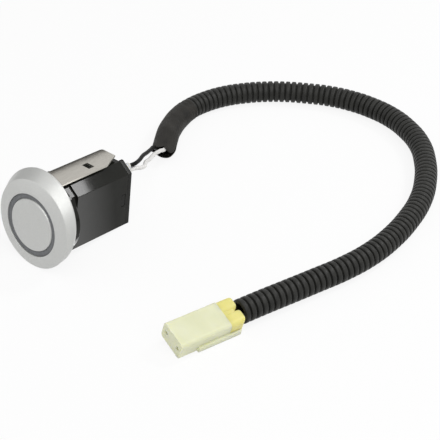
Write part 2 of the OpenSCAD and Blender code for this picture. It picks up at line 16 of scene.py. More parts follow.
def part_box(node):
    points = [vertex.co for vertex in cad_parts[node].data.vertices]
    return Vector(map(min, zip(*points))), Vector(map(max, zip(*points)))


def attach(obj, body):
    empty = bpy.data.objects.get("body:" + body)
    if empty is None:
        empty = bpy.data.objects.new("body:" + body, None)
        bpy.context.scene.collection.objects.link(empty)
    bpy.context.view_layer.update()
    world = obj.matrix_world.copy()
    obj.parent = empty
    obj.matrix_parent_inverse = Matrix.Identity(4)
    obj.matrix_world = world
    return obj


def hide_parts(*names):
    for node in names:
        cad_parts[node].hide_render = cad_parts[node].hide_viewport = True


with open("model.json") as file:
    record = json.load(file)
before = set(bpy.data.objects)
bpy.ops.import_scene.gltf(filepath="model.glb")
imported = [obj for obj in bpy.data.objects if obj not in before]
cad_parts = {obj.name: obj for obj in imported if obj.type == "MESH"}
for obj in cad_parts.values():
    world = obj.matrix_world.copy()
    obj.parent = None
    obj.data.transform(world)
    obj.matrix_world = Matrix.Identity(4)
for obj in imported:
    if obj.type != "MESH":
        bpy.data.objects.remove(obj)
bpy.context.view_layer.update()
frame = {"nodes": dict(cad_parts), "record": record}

MM = 0.001

# %% [markdown]
# ## Where the head lies
# The head rests nose-up on the table. Its own frame has the transducer's axis along Y, the face at zero
# and the clip on the +Z side. The clip's mount gives the tilt, and the cup's box gives the place: a
# tilted cylinder's box has the same middle as the cylinder.

# %% The head's own frame
mounts = {mount["name"]: mount for mount in frame["record"]["mounts"]}
clip_axis = mounts["bumper_clip"]["axis"]
head_tilt = math.atan2(clip_axis[1], clip_axis[2])
cup_low, cup_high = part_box("transducer_cup")
cup_size = cup_high - cup_low
cup_depth = (cup_size.y - cup_size.x * math.sin(head_tilt)) / math.cos(head_tilt)
head_turn = Matrix.Rotation(-head_tilt, 4, "X")
face_centre = (cup_low + cup_high) / 2 - head_turn @ Vector((0, cup_depth / 2, 0))
HEAD = Matrix.Translation(face_centre) @ head_turn
print("head tilt", round(math.degrees(head_tilt), 2), "face at mm", [round(c / MM, 2) for c in face_centre])


def head_point(x, y, z):
    """A point of the head's own frame, in mm, where it lies on the table."""
    return HEAD @ (Vector((x, y, z)) * MM)


# %% [markdown]
# ## Camera
# The camera looks down on the sensor from the right of its face. A long lens keeps the perspective mild.
# Its focal length is written in pixels of the square picture and turned into millimetres of sensor.

# %% Camera
CAMERA_EYE = Vector((233.8, -223.4, 229.2)) * MM
CAMERA_AIM = Vector((27.14, 30.64, 3.0)) * MM
CAMERA_ROLL = math.radians(1.61)
FOCAL_PIXELS = 1400
PICTURE_PIXELS = 440

camera_data = bpy.data.cameras.new("camera")
camera_data.lens = camera_data.sensor_width * FOCAL_PIXELS / PICTURE_PIXELS
camera_data.clip_start = 0.01
camera = bpy.data.objects.new("camera", camera_data)
bpy.context.scene.collection.objects.link(camera)
camera.location = CAMERA_EYE
camera.rotation_mode = "QUATERNION"
look = (CAMERA_AIM - CAMERA_EYE).to_track_quat("-Z", "Y")
camera.rotation_quaternion = look @ Quaternion((0, 0, 1), CAMERA_ROLL)
bpy.context.scene.camera = camera
bpy.context.scene.view_settings.view_transform = "Standard"
print("lens", round(camera_data.lens, 1), "mm")

# %% [markdown]
# ## Materials from a few helpers
# Each finish is a Principled shader whose colour, roughness or height is broken up by noise. The noise
# reads Object coordinates, which are the frame's metres, so a grain has the same size on every piece.
# Values that are the same all over a surface are set on the shader's own sockets.

# %% Material helpers
NOISE_LOW = 0.3
NOISE_HIGH = 0.7


def finish(name, colour, roughness, **sockets):
    """A Principled material with its constant values set."""
    material = bpy.data.materials.new(name)
    material.use_nodes = True
    shader = material.node_tree.nodes["Principled BSDF"]
    shader.inputs["Base Color"].default_value = (*colour, 1)
    shader.inputs["Roughness"].default_value = roughness
    for socket, value in sockets.items():
        shader.inputs[socket.replace("_", " ")].default_value = value
    return material


def grain(material, per_mm, detail=4.0, stretch=(1, 1, 1)):
    """Noise with about this many lumps in a millimetre, as a value from 0 to 1."""
    nodes, links = material.node_tree.nodes, material.node_tree.links
    place = nodes.new("ShaderNodeTexCoord")
    mapping = nodes.new("ShaderNodeMapping")
    mapping.inputs["Scale"].default_value = stretch
    lumps = nodes.new("ShaderNodeTexNoise")
    lumps.inputs["Scale"].default_value = per_mm / MM
    lumps.inputs["Detail"].default_value = detail
    links.new(place.outputs["Object"], mapping.inputs["Vector"])
    links.new(mapping.outputs["Vector"], lumps.inputs["Vector"])
    return lumps.outputs["Fac"]


def remap(material, value, low, high, start=NOISE_LOW, end=NOISE_HIGH):
    """Stretches a value so that start becomes low and end becomes high."""
    node = material.node_tree.nodes.new("ShaderNodeMapRange")
    node.inputs["From Min"].default_value = start
    node.inputs["From Max"].default_value = end
    node.inputs["To Min"].default_value = low
    node.inputs["To Max"].default_value = high
    material.node_tree.links.new(value, node.inputs["Value"])
    return node.outputs["Result"]


def drive(material, socket, value):
    shader = material.node_tree.nodes["Principled BSDF"]
    material.node_tree.links.new(value, shader.inputs[socket])


def tint(material, value, dark, light):
    """Colours the surface between two tones by a value."""
    ramp = material.node_tree.nodes.new("ShaderNodeValToRGB")
    ramp.color_ramp.elements[0].position = NOISE_LOW
    ramp.color_ramp.elements[0].color = (*dark, 1)
    ramp.color_ramp.elements[1].position = NOISE_HIGH
    ramp.color_ramp.elements[1].color = (*light, 1)
    material.node_tree.links.new(value, ramp.inputs["Fac"])
    drive(material, "Base Color", ramp.outputs["Color"])


def relief(material, value, height_mm):
    """Small bumps of this height on the surface."""
    bump = material.node_tree.nodes.new("ShaderNodeBump")
    bump.inputs["Strength"].default_value = 1.0
    bump.inputs["Distance"].default_value = height_mm * MM
    material.node_tree.links.new(value, bump.inputs["Height"])
    drive(material, "Normal", bump.outputs["Normal"])


# %% [markdown]
# ## Piece helpers
# A finished piece sits at the origin with its place in its mesh. Smooth shading with sharp edges above an
# angle keeps curved walls round. Weighted normals keep the large faces flat, so that only a rounded edge
# turns the light.

# %% Piece helpers
ROOT = "root"
WELD = 0.002
FLAT_DEG = 0.5
EDGE_DEG = 30


def add_piece(node, mesh, material, sharp_deg=40, flat_faces=True):
    """Puts a mesh into the scene in place of the CAD node of that name."""
    mesh.materials.clear()
    mesh.materials.append(material)
    mesh.shade_smooth()
    mesh.set_sharp_from_angle(angle=math.radians(sharp_deg))
    piece = bpy.data.objects.new(node, mesh)
    bpy.context.scene.collection.objects.link(piece)
    if flat_faces:
        piece.modifiers.new("flat faces", "WEIGHTED_NORMAL").keep_sharp = True
    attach(piece, ROOT)
    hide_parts(node)
    print(node, len(mesh.polygons), "faces")
    return piece


def mesh_from(bm, name):
    mesh = bpy.data.meshes.new(name)
    bm.to_mesh(mesh)
    bm.free()
    return mesh


def rounded(bm, edges, radius, segments):
    """Rounds edges with a bevel, in the units of the mesh."""
    bmesh.ops.bevel(
        bm, geom=edges, offset=radius, offset_type="OFFSET", affect="EDGES", segments=segments, profile=0.5,
        material=-1, clamp_overlap=True)


def softened(node, material, edge_mm, segments=3):
    """A copy of a CAD node whose sharp edges are rounded a little, as a moulding's are."""
    bm = bmesh.new()
    bm.from_mesh(frame["nodes"][node].data)
    bmesh.ops.remove_doubles(bm, verts=bm.verts, dist=WELD * MM)
    bmesh.ops.dissolve_limit(bm, angle_limit=math.radians(FLAT_DEG), verts=bm.verts, edges=bm.edges)
    limit = math.radians(EDGE_DEG)
    edges = [edge for edge in bm.edges if edge.is_manifold and edge.calc_face_angle() > limit]
    rounded(bm, edges, edge_mm * MM, segments)
    return add_piece(node, mesh_from(bm, node), material, EDGE_DEG)


# %% [markdown]
# ## Routes of the lead
# The lead lies loose on the table. Its points were chosen one by one, and a Bezier curve with automatic
# handles makes one smooth line of them. The two wires leave the seal one above the other, sag towards the
# table and go into the taped mouth.

# %% Routes
MOUTH_OUT = 2.5
MOUTH_IN = 5.0
LEAD_ROUTE = [
    (-10, 48.5, 4.1), (-12.8, 52.5, 3.9), (-15.2, 56.5, 3.8), (-17.3, 61, 3.7), (-18.8, 65.5, 3.6),
    (-19.7, 71, 3.6), (-19.2, 78, 3.5), (-17, 85, 3.5), (-13.5, 91, 3.5), (-9, 96.5, 3.5),
    (-4, 101, 3.5), (2, 105, 3.5), (8.5, 108.5, 3.5), (15.5, 110.7, 3.5), (23, 111.5, 3.5),
    (31, 110.8, 3.5), (39, 108, 3.5), (47, 103, 3.5), (54, 95.5, 3.5), (60, 86.5, 3.5),
    (64.5, 77, 3.5), (67.5, 66, 3.5), (69, 55, 3.5), (69, 45, 3.5), (67.5, 35, 3.5),
    (65, 25.5, 3.5), (62.6, 16.5, 3.6), (60.3, 8, 3.7), (58.2, 0, 3.7)]
BLACK_ROUTE = [
    (1.8, 22.6, 15), (1.2, 24.2, 14.5), (0, 26.6, 13.7), (-2, 30.1, 12.6), (-4.1, 34.2, 10.9),
    (-6.5, 38.3, 9), (-9, 42.3, 7)]
WHITE_ROUTE = [
    (2.1, 22.6, 13.6), (2.4, 24.2, 13.1), (2, 26.2, 12.4), (-0.3, 29.4, 11.4), (-2.6, 33.4, 9.4),
    (-5.4, 38.6, 7.6), (-7.4, 43.4, 5.8)]
BLACK_MOUTH = (2.2, 0.6)
WHITE_MOUTH = (-0.3, 0.4)
WIRE_D = 1.2
BLACK_Z = 6.45
WHITE_Z = 4.95
WIRE_STATIONS = [(1.25, 26.2), (1.25, 29.1), (2, 31.7), (2, 35.8)]

lead_points = [Vector(point) * MM for point in LEAD_ROUTE]
mouth_along = (lead_points[1] - lead_points[0]).normalized()
mouth_side = Vector((0, 0, 1)).cross(mouth_along).normalized()
mouth_up = mouth_along.cross(mouth_side)


def mouth_point(offset, inward):
    """A point near the taped mouth: to the side, up, and in along the conduit, in mm."""
    return lead_points[0] + (offset[0] * mouth_side + offset[1] * mouth_up + inward * mouth_along) * MM


def smooth_curve(name, points):
    """A curve with one open spline that runs smoothly through the points."""
    curve = bpy.data.curves.new(name, "CURVE")
    curve.dimensions = "3D"
    curve.twist_mode = "Z_UP"
    spline = curve.splines.new("BEZIER")
    spline.resolution_u = 10
    spline.bezier_points.add(len(points) - 1)
    for bezier, point in zip(spline.bezier_points, points):
        bezier.co = point
        bezier.handle_left_type = "AUTO"
        bezier.handle_right_type = "AUTO"
    shape = bpy.data.objects.new(name, curve)
    bpy.context.scene.collection.objects.link(shape)
    return shape


def centreline(shape):
    """The points that a plain curve runs through, and its length."""
    evaluated = shape.evaluated_get(bpy.context.evaluated_depsgraph_get())
    line = evaluated.to_mesh()
    points = [vertex.co.copy() for vertex in line.vertices]
    evaluated.to_mesh_clear()
    length = sum((b - a).length for a, b in zip(points, points[1:]))
    return points, length


def trimmed(points, start):
    """The part of a line that lies past a distance along it."""
    kept, run = [], 0.0
    for a, b in zip(points, points[1:]):
        run += (b - a).length
        if run >= start:
            kept.append(b)
    return kept


# %% [markdown]
# ## Wires
# Two soft insulated wires come out of the seal. A curve with a round bevel is enough for them: the line of
# the curve is the wire's own centreline.

# %% Wires
def insulation(name, colour, light, sheen):
    """Soft insulation: nearly even in colour, with a faint drawn grain."""
    material = finish(name, colour, 0.4, Specular_IOR_Level=sheen)
    tint(material, grain(material, 0.8), colour, light)
    relief(material, grain(material, 3.0, stretch=(1, 0.3, 1)), 0.02)
    return material


def wire(name, height, middle, mouth, material):
    start = [head_point(x, y, height) for x, y in WIRE_STATIONS]
    end = [mouth_point(mouth, inward) for inward in (-MOUTH_OUT, 0, MOUTH_IN)]
    shape = smooth_curve(name, start + [Vector(point) * MM for point in middle] + end)
    length = centreline(shape)[1]
    shape.data.bevel_depth = WIRE_D / 2 * MM
    shape.data.bevel_resolution = 5
    shape.data.use_fill_caps = True
    shape.data.materials.append(material)
    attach(shape, ROOT)
    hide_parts(name)
    print(name, "length in mm", round(length / MM, 1))
    return shape, length, start[-1]


black_wire = wire(
    "black_wire", BLACK_Z, BLACK_ROUTE, BLACK_MOUTH,
    insulation("black insulation", (0.006, 0.006, 0.0055), (0.01, 0.01, 0.009), 0.04))
white_wire = wire(
    "white_wire", WHITE_Z, WHITE_ROUTE, WHITE_MOUTH,
    insulation("white insulation", (0.78, 0.77, 0.75), (0.88, 0.87, 0.85), 0.2))

# %% [markdown]
# ## Conduit
# Corrugated conduit is a thin tube with a flat-topped rib every two millimetres. The rib's section is
# repeated along a straight line, spun into a tube, and a Curve modifier then lays the tube along the
# route, so the ribs close up on the inside of a bend as real ones do.

# %% Conduit
CONDUIT_D = 6.8
RIB_PITCH = 1.9
GROOVE_DEPTH = 0.62
CONDUIT_BORE = 4.9
CONDUIT_INSET = 6.5
CONDUIT_SHORT = 0.5
ROUND_STEPS = 44
SPUN_WELD = 0.001
RIB_SHARP_DEG = 60
# Each point of a rib: its share of the pitch, and its share of the groove's depth.
RIB_SECTION = [(0.0, 1.0), (0.13, 0.97), (0.2, 0.75), (0.25, 0.3), (0.32, 0.04), (0.5, 0.0),
               (0.72, 0.0), (0.88, 0.04), (0.94, 0.3), (0.985, 0.78)]


def spun(section, axis, steps, weld):
    """Spins a closed section about an axis through the origin."""
    bm = bmesh.new()
    points = [bm.verts.new(point) for point in section]
    edges = [bm.edges.new(pair) for pair in zip(points, points[1:] + points[:1])]
    bmesh.ops.spin(
        bm, geom=points + edges, cent=(0, 0, 0), axis=axis, angle=math.tau, steps=steps, use_merge=True)
    bmesh.ops.remove_doubles(bm, verts=bm.verts, dist=weld)
    return bm


def spun_tube(section):
    """A tube along X from a closed section of [x, radius] points in mm."""
    points = [(x * MM, 0, radius * MM) for x, radius in section]
    bm = spun(points, (1, 0, 0), ROUND_STEPS, SPUN_WELD * MM)
    bmesh.ops.recalc_face_normals(bm, faces=bm.faces)
    return bm


def laid_along(bm, name, route):
    """Bends a straight mesh along a curve and returns the bent mesh."""
    straight = bpy.data.objects.new(name + "_straight", mesh_from(bm, name + "_straight"))
    bpy.context.scene.collection.objects.link(straight)
    bend = straight.modifiers.new("bend", "CURVE")
    bend.object = route
    bend.deform_axis = "POS_X"
    bent = bpy.data.meshes.new_from_object(straight.evaluated_get(bpy.context.evaluated_depsgraph_get()))
    bpy.data.objects.remove(straight)
    return bent


def conduit_plastic():
    material = finish("conduit plastic", (0.012, 0.012, 0.0108), 0.45, Specular_IOR_Level=0.22)
    tint(material, grain(material, 0.35), (0.014, 0.014, 0.0125), (0.025, 0.025, 0.0225))
    drive(material, "Roughness", remap(material, grain(material, 1.2), 0.36, 0.55))
    relief(material, grain(material, 4.0), 0.02)
    return material


lead_route = smooth_curve("lead_route", lead_points)
lead_path, lead_length = centreline(lead_route)
rib_count = int((lead_length / MM - CONDUIT_INSET - CONDUIT_SHORT) / RIB_PITCH)
conduit_end = CONDUIT_INSET + rib_count * RIB_PITCH
section = [
    (CONDUIT_INSET + (rib + along) * RIB_PITCH, CONDUIT_D / 2 - GROOVE_DEPTH * depth)
    for rib in range(rib_count) for along, depth in RIB_SECTION]
section.append((conduit_end, CONDUIT_D / 2 - GROOVE_DEPTH))
section += [(CONDUIT_INSET + rib * RIB_PITCH, CONDUIT_BORE / 2) for rib in reversed(range(rib_count + 1))]
conduit_mesh = laid_along(spun_tube(section), "conduit", lead_route)
conduit = add_piece("conduit", conduit_mesh, conduit_plastic(), RIB_SHARP_DEG, flat_faces=False)
conduit_path = trimmed(lead_path, CONDUIT_INSET * MM)
print("lead length in mm", round(lead_length / MM, 1), "ribs", rib_count)

# %% [markdown]
# ## Taped end
# Cloth tape is wound over the conduit's end and past it, so its mouth is a thin sleeve. There its upper
# side has sunk, most of all on the near side, and reaches over the wires. One corner runs out in a point
# along the black wire. A wall is spun, shaped point by point with a little noise, and laid along the same
# route. Where the tape ends, the ribs below begin to show through it.

# %% Taped end
TAPE_D = 7.2
TAPE_LEN = 25.2
TAPE_WALL = 0.28
TAPE_STEP = 0.4
CRUMPLE = 0.14
CRUMPLE_LEAST = 0.6
CRUMPLE_ALONG = 0.22
CRUMPLE_ROUND = 1.4
LOOSE_LEN = 6.5
SINK = 0.58
SINK_NEAR = 0.5
SINK_POWER = 1.5
UPPER_LIP = 2.6
NEAR_LIP = 3.0
FAR_LIP = 1.8
LOWER_LIP = 1.0
TAIL = 3.0
TAIL_POWER = 10
SHOW_THROUGH = 5.0
THINNER = 0.12
RIB_SHOWN = 0.3


def cloth_tape():
    material = finish("cloth tape", (0.02, 0.019, 0.017), 0.6, Specular_IOR_Level=0.15)
    tint(material, grain(material, 0.3), (0.015, 0.0145, 0.013), (0.034, 0.032, 0.0285))
    weave = grain(material, 5.0, detail=2.0, stretch=(1, 0.25, 1))
    drive(material, "Roughness", remap(material, grain(material, 0.6), 0.5, 0.75))
    relief(material, weave, 0.04)
    return material


def tape_radius(x):
    """The sleeve's outer radius: plain, and ribbed where the tape runs out."""
    fade = max(0.0, (x - TAPE_LEN + SHOW_THROUGH) / SHOW_THROUGH)
    wave = 0.5 - 0.5 * math.cos(math.tau * (x - CONDUIT_INSET) / RIB_PITCH)
    return TAPE_D / 2 - fade * (THINNER + RIB_SHOWN * (1 - wave))


tape_stations = [step * TAPE_STEP for step in range(int(TAPE_LEN / TAPE_STEP) + 1)]
tape_section = [(x, tape_radius(x)) for x in tape_stations]
tape_section += [(x, tape_radius(x) - TAPE_WALL) for x in reversed(tape_stations)]
tape_bm = spun_tube(tape_section)
for vertex in tape_bm.verts:
    out = Vector((0, vertex.co.y, vertex.co.z)).normalized()
    x = vertex.co.x / MM
    loose = max(0.0, 1 - x / LOOSE_LEN)
    lumps = noise.noise(Vector((x * CRUMPLE_ALONG, out.y * CRUMPLE_ROUND, out.z * CRUMPLE_ROUND)))
    vertex.co += out * lumps * CRUMPLE * (CRUMPLE_LEAST + loose) * MM
    top, near, far = max(0.0, out.z), max(0.0, -out.y), max(0.0, out.y)
    if top > 0:
        vertex.co.z *= 1 - SINK * (1 - SINK_NEAR * out.y) * loose ** SINK_POWER
    reach = UPPER_LIP * top + 2 * top * (NEAR_LIP * near + FAR_LIP * far)
    reach += LOWER_LIP * max(0.0, -out.z) + TAIL * far ** TAIL_POWER
    vertex.co.x -= loose ** 2 * reach * MM
tape_mesh = laid_along(tape_bm, "tape_wrap", lead_route)
tape_wrap = add_piece("tape_wrap", tape_mesh, cloth_tape(), RIB_SHARP_DEG, flat_faces=False)
bpy.data.objects.remove(lead_route)

# %% [markdown]
# ## Bezel
# The bezel is a wedge: its face is a shallow dome square to the transducer's axis, and its rim is a
# larger circle that is set higher and tilted. No lathe makes that, so circles are placed along the section,
# each in the frame of the face or of the rim, and bridged one to the next. The edge between face and
# flank is then rounded with a bevel.

# %% Bezel
RING_D = 18.0
LAND_W = 0.3
FACE_D = 25.8
FACE_DROP = 0.9
RIM_D = 27.4
RIM_RISE = 1.5
RIM_TILT = math.radians(6)
RIM_DEPTH = 2.4
RIM_EDGE = 0.5
LIP_T = 1.4
SOCKET_D = 20.4
HOLLOW_D = 23.2
HOLLOW_Y = 2.2
FIT = 0.05
BEZEL_STEPS = 128
DOME_STEPS = 9
DOME_POWER = 1.15
FACE_ROUND = 0.18
RIM_ROUND = 0.15
BORE_ROUND = 0.12

to_front = Matrix.Rotation(math.radians(-90), 4, "X")
rim_y = FACE_DROP + RIM_DEPTH
rim_frame = Matrix.Translation(Vector((0, rim_y, RIM_RISE))) @ Matrix.Rotation(-RIM_TILT, 4, "X")
lean = Matrix.Identity(4)
lean[1][2] = math.tan(RIM_TILT)
rim_plane = Matrix.Translation(Vector((0, rim_y, RIM_RISE))) @ lean


def circle(bm, radius, depth, placed=Matrix.Identity(4)):
    """A ring of edges about the Y axis, in mm, in the head's frame or a frame within it."""
    made = bmesh.ops.create_circle(bm, cap_ends=False, radius=radius, segments=BEZEL_STEPS, matrix=to_front)
    bmesh.ops.transform(bm, verts=made["verts"], matrix=placed @ Matrix.Translation((0, depth, 0)))
    return list({edge for vertex in made["verts"] for edge in vertex.link_edges})


def loft(bm, rings):
    """Bridges each ring to the next, and the last to the first."""
    for one, two in zip(rings, rings[1:] + rings[:1]):
        bmesh.ops.bridge_loops(bm, edges=one + two)


def silver_paint():
    """Satin silver paint: fine metal flakes in a clear film."""
    material = finish(
        "silver paint", (0.56, 0.565, 0.55), 0.4, Metallic=0.55, Coat_Weight=0.15, Coat_Roughness=0.3)
    tint(material, grain(material, 9.0, detail=2.0), (0.5, 0.505, 0.49), (0.62, 0.625, 0.61))
    drive(material, "Roughness", remap(material, grain(material, 1.5), 0.36, 0.46))
    relief(material, grain(material, 6.0), 0.006)
    return material


silver = silver_paint()
bezel_bm = bmesh.new()
land_r = RING_D / 2 + LAND_W
dome = [
    circle(bezel_bm, land_r + (FACE_D / 2 - land_r) * share, FACE_DROP * share ** DOME_POWER)
    for share in [step / DOME_STEPS for step in range(DOME_STEPS + 1)]]
face_edge = dome[-1]
rim_front = circle(bezel_bm, RIM_D / 2, -RIM_EDGE, rim_frame)
rim_back = circle(bezel_bm, RIM_D / 2, 0, rim_frame)
hollow_mouth = circle(bezel_bm, HOLLOW_D / 2, 0, rim_plane)
hollow_floor = circle(bezel_bm, HOLLOW_D / 2, HOLLOW_Y, Matrix.Translation((0, 0, RIM_RISE)))
socket_floor = circle(bezel_bm, SOCKET_D / 2 + FIT, HOLLOW_Y)
socket_lip = circle(bezel_bm, SOCKET_D / 2 + FIT, LIP_T)
bore_lip = circle(bezel_bm, RING_D / 2 + FIT, LIP_T)
bore_front = circle(bezel_bm, RING_D / 2 + FIT, BORE_ROUND)
bore_land = circle(bezel_bm, RING_D / 2 + BORE_ROUND, 0)
loft(bezel_bm, dome + [rim_front, rim_back, hollow_mouth, hollow_floor, socket_floor, socket_lip,
                       bore_lip, bore_front, bore_land])
rounded(bezel_bm, face_edge, FACE_ROUND, segments=5)
rim_edges = [edge for edge in rim_front + rim_back if edge.is_valid]
rounded(bezel_bm, rim_edges, RIM_ROUND, segments=3)
bmesh.ops.recalc_face_normals(bezel_bm, faces=bezel_bm.faces)
bmesh.ops.transform(bezel_bm, verts=bezel_bm.verts, matrix=HEAD @ Matrix.Scale(MM, 4))
add_piece("bezel", mesh_from(bezel_bm, "bezel"), silver)

# %% [markdown]
# ## Transducer
# The disc in the face is the closed end of an aluminium cup, painted with the bezel. A silicone ring holds
# it and lies a little lower, so the disc's rounded edge catches a thin line of light. Both are turned
# shapes, so each is a section spun about the head's axis.

# %% Transducer
CUP_D = 15.3
CUP_DEPTH = 6.9
CUP_BORE = 12.9
MEMBRANE_T = 0.8
RING_SET = 0.3
RING_EDGE_W = 0.2
RING_EDGE_DROP = 0.1
TURNED_SLIVER = 0.0005
# Each point of the disc's edge: how far in from the cup's wall, and how deep below the face.
CUP_EDGE = [(0.34, 0.0), (0.26, 0.015), (0.2, 0.05), (0.07, 0.33), (0.02, 0.42), (0.0, 0.5)]


def turned(node, section, material):
    """Spins a closed section of [radius, depth] points in mm about the head's axis."""
    bm = spun([(radius, depth, 0) for radius, depth in section], (0, 1, 0), BEZEL_STEPS, SPUN_WELD)
    bmesh.ops.dissolve_degenerate(bm, dist=TURNED_SLIVER, edges=bm.edges)
    bmesh.ops.recalc_face_normals(bm, faces=bm.faces)
    bmesh.ops.transform(bm, verts=bm.verts, matrix=HEAD @ Matrix.Scale(MM, 4))
    add_piece(node, mesh_from(bm, node), material)


def grey_silicone():
    material = finish("grey silicone", (0.145, 0.15, 0.157), 0.55)
    tint(material, grain(material, 1.0), (0.126, 0.131, 0.138), (0.168, 0.173, 0.181))
    relief(material, grain(material, 5.0), 0.02)
    return material


cup_r = CUP_D / 2
cup_section = [(0.0, 0.0), (cup_r / 2, 0.0)] + [(cup_r - inset, depth) for inset, depth in CUP_EDGE]
cup_section += [
    (cup_r, CUP_DEPTH), (CUP_BORE / 2, CUP_DEPTH), (CUP_BORE / 2, MEMBRANE_T), (0.0, MEMBRANE_T)]
turned("transducer_cup", cup_section, silver)
ring_in, ring_out = cup_r + FIT, RING_D / 2
ring_section = [
    (ring_in, RING_SET + RING_EDGE_DROP), (ring_in + RING_EDGE_W, RING_SET),
    (ring_out - RING_EDGE_W, RING_SET), (ring_out, RING_SET + RING_EDGE_DROP),
    (ring_out, CUP_DEPTH), (ring_in, CUP_DEPTH)]
turned("decoupling_ring", ring_section, grey_silicone())

# %% [markdown]
# ## Housing and rear cover
# The body is a glossy black moulding. Its solids are right already, so copies of them get small rounded
# edges, which is what makes a moulding read as plastic and not as paper.

# %% Housing and rear cover
MOULD_ROUND = 0.12


def moulded_black(name, dark, light, gloss):
    """Glossy black plastic, smooth enough to mirror a lamp's edge softly."""
    material = finish(name, dark, gloss, Specular_IOR_Level=0.12)
    tint(material, grain(material, 0.25), dark, light)
    drive(material, "Roughness", remap(material, grain(material, 0.5), gloss - 0.005, gloss + 0.005))
    return material


housing_black = moulded_black("housing plastic", (0.012, 0.0123, 0.0102), (0.016, 0.0163, 0.014), 0.05)
cover_black = moulded_black("cover plastic", (0.01, 0.0102, 0.0088), (0.013, 0.0132, 0.0116), 0.2)
softened("housing", housing_black, MOULD_ROUND)
softened("rear_cover", cover_black, MOULD_ROUND)

# %% [markdown]
# ## Clip
# The clip is a strip of spring steel: warm grey, rolled along its length, with burred edges that are
# hardly rounded.

# %% Clip
SHEET_ROUND = 0.1


def spring_steel():
    material = finish("spring steel", (0.46, 0.44, 0.4), 0.18, Metallic=0.75)
    rolled = grain(material, 2.5, stretch=(1, 0.06, 1))
    tint(material, rolled, (0.42, 0.4, 0.36), (0.5, 0.48, 0.435))
    drive(material, "Roughness", remap(material, rolled, 0.15, 0.21))
    relief(material, rolled, 0.003)
    return material


softened("retaining_clip", spring_steel(), SHEET_ROUND)

# %% [markdown]
# ## Seal and connector
# Silicone and nylon let light a little way in. Subsurface scattering with a radius of a millimetre or two
# gives the milky edges that tell them from painted plastic.

# %% Seal and connector
CONNECTOR_ROUND = 0.45
RETAINER_ROUND = 0.4


def milky(name, colour, light, gloss, depth_mm):
    material = finish(
        name, colour, gloss, Subsurface_Weight=0.6, Subsurface_Radius=(1.0, 0.95, 0.6),
        Subsurface_Scale=depth_mm * MM)
    tint(material, grain(material, 0.2), colour, light)
    drive(material, "Roughness", remap(material, grain(material, 1.0), gloss - 0.05, gloss + 0.08))
    relief(material, grain(material, 5.0), 0.008)
    return material


wire_seal = softened(
    "wire_seal", milky("seal silicone", (0.72, 0.72, 0.69), (0.8, 0.8, 0.77), 0.4, 1.0), MOULD_ROUND)
connector_housing = softened(
    "connector_housing", milky("connector nylon", (0.74, 0.75, 0.51), (0.79, 0.8, 0.58), 0.34, 2.0),
    CONNECTOR_ROUND, segments=4)
connector_retainer = softened(
    "connector_retainer", milky("retainer nylon", (0.76, 0.69, 0.2), (0.8, 0.74, 0.27), 0.34, 2.0),
    RETAINER_ROUND, segments=4)

# %% [markdown]
# ## Pieces inside
# The board and its parts can't be seen, but they are there. Each keeps its solid and gets its own finish.

# %% Pieces inside
INNER_DARK = 0.85
# Each node's colour, roughness and share of metal.
INNER_FINISHES = {
    "piezo_disc": ((0.55, 0.46, 0.25), 0.35, 0.8),
    "damping_pad": ((0.26, 0.26, 0.26), 0.8, 0.0),
    "transducer_cap": ((0.1, 0.1, 0.105), 0.5, 0.0),
    "transducer_pins": ((0.6, 0.4, 0.12), 0.25, 1.0),
    "circuit_board": ((0.02, 0.12, 0.04), 0.4, 0.0),
    "controller_chip": ((0.012, 0.012, 0.012), 0.5, 0.0),
    "transformer_core": ((0.04, 0.04, 0.042), 0.6, 0.0),
    "transformer_winding": ((0.48, 0.17, 0.05), 0.3, 0.9),
    "storage_capacitor": ((0.57, 0.36, 0.04), 0.45, 0.0),
    "chip_parts": ((0.24, 0.2, 0.14), 0.5, 0.0),
    "socket_contacts": ((0.6, 0.5, 0.28), 0.3, 1.0),
}
for node, (colour, roughness, metallic) in INNER_FINISHES.items():
    inner = finish(node + " finish", colour, roughness, Metallic=metallic)
    tint(inner, grain(inner, 1.5), tuple(INNER_DARK * tone for tone in colour), colour)
    drive(inner, "Roughness", remap(inner, grain(inner, 3.0), roughness - 0.05, roughness + 0.1))
    cad_data = frame["nodes"][node].data
    cad_data.materials.clear()
    cad_data.materials.append(inner)
print("inner pieces:", len(INNER_FINISHES))

# %% [markdown]
# ## Table and light
# A pale table and soft studio light. Rays that the camera sees directly or in a reflection find a white
# surround, while the light on the object comes from two large lamps and an even sky.

# %% Table and light
SKY = 0.4
FLOOR_SHADE = 0.12
TABLE_TONE = 0.9
TABLE_HALF = 1.5


def seen_rays(tree):
    """1 for rays that show the surround: from the camera, in gloss and through clear things."""
    path = tree.nodes.new("ShaderNodeLightPath")
    total = path.outputs["Is Camera Ray"]
    for ray in ("Is Glossy Ray", "Is Transmission Ray"):
        widest = tree.nodes.new("ShaderNodeMath")
        widest.operation = "MAXIMUM"
        tree.links.new(total, widest.inputs[0])
        tree.links.new(path.outputs[ray], widest.inputs[1])
        total = widest.outputs["Value"]
    return total


def table_top():
    material = bpy.data.materials.new("table")
    material.use_nodes = True
    tree = material.node_tree
    shader = tree.nodes["Principled BSDF"]
    shader.inputs["Base Color"].default_value = (TABLE_TONE, TABLE_TONE, TABLE_TONE, 1)
    shader.inputs["Roughness"].default_value = 0.9
    shader.inputs["Specular IOR Level"].default_value = 0.0
    white = tree.nodes.new("ShaderNodeEmission")
    share = tree.nodes.new("ShaderNodeMath")
    share.operation = "MULTIPLY"
    share.inputs[1].default_value = 1 - FLOOR_SHADE
    mix = tree.nodes.new("ShaderNodeMixShader")
    tree.links.new(seen_rays(tree), share.inputs[0])
    tree.links.new(share.outputs["Value"], mix.inputs["Fac"])
    tree.links.new(shader.outputs["BSDF"], mix.inputs[1])
    tree.links.new(white.outputs["Emission"], mix.inputs[2])
    tree.links.new(mix.outputs["Shader"], tree.nodes["Material Output"].inputs["Surface"])
    return material


